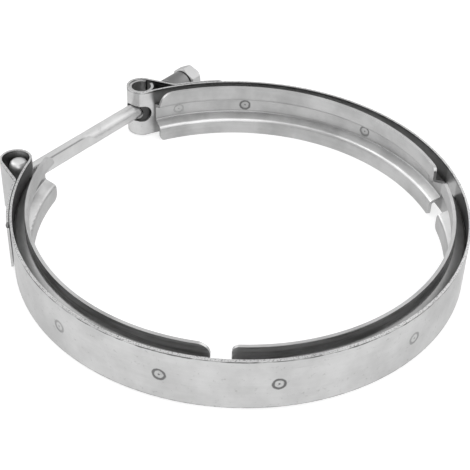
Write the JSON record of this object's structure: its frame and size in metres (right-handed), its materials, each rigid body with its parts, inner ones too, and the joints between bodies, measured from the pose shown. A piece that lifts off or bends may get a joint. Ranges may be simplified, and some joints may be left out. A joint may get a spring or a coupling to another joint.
{
  "type": "v band clamp",
  "caption": "Open ring band with V-section retainers inside and folded eyes at its ends, drawn together by a T bolt, a trunnion tube and a lock nut.",
  "frame": {"origin": "centre of the clamped ring, on its axis at mid width", "axes": "+Z along the ring's axis, +Y from the centre to the middle of the ring's opening, +X along the bolt from its head to its nut"},
  "size_m": [0.1524, 0.1561, 0.0206],
  "materials": {
    "band_steel": "satin rolled stainless",
    "retainer_steel": "satin stainless, darker in the V",
    "trunnion_steel": "tumbled stainless",
    "bolt_steel": "forged and tumbled stainless",
    "sleeve_steel": "turned steel",
    "nut_steel": "bright steel"
  },
  "bodies": {
    "ring": {"outer_band": "band_steel", "retainer_left": "retainer_steel", "retainer_front": "retainer_steel", "retainer_right": "retainer_steel"},
    "trunnion": {"trunnion_tube": "trunnion_steel"},
    "bolt": {"t_bolt": "bolt_steel"},
    "sleeve": {"spacer_sleeve": "sleeve_steel"},
    "nut": {"lock_nut": "nut_steel"}
  },
  "joints": [
    {"name": "bolt_swing", "type": "hinge", "parent": "ring", "child": "bolt", "pos_m": [-0.03123, 0.07429, 0], "axis": [0, 0, 1], "range_deg": [-0.3, 0.3]},
    {"name": "trunnion_turn", "type": "hinge", "parent": "ring", "child": "trunnion", "pos_m": [0.03223, 0.07429, 0], "axis": [0, 0, 1], "range_deg": [-2.5, 2.5]},
    {"name": "sleeve_travel", "type": "slide", "parent": "bolt", "child": "sleeve", "axis": [1, 0, 0], "range_m": [-0.0069, 0.003]},
    {"name": "nut_turn", "type": "hinge", "parent": "sleeve", "child": "nut", "pos_m": [0.05653, 0.07429, 0], "axis": [1, 0, 0], "range_deg": [-2484.5, 1080.5]}
  ],
  "couplings": [
    {"joint": "nut_turn", "follows": "sleeve_travel", "rad_per_m": 6283.2}
  ]
}
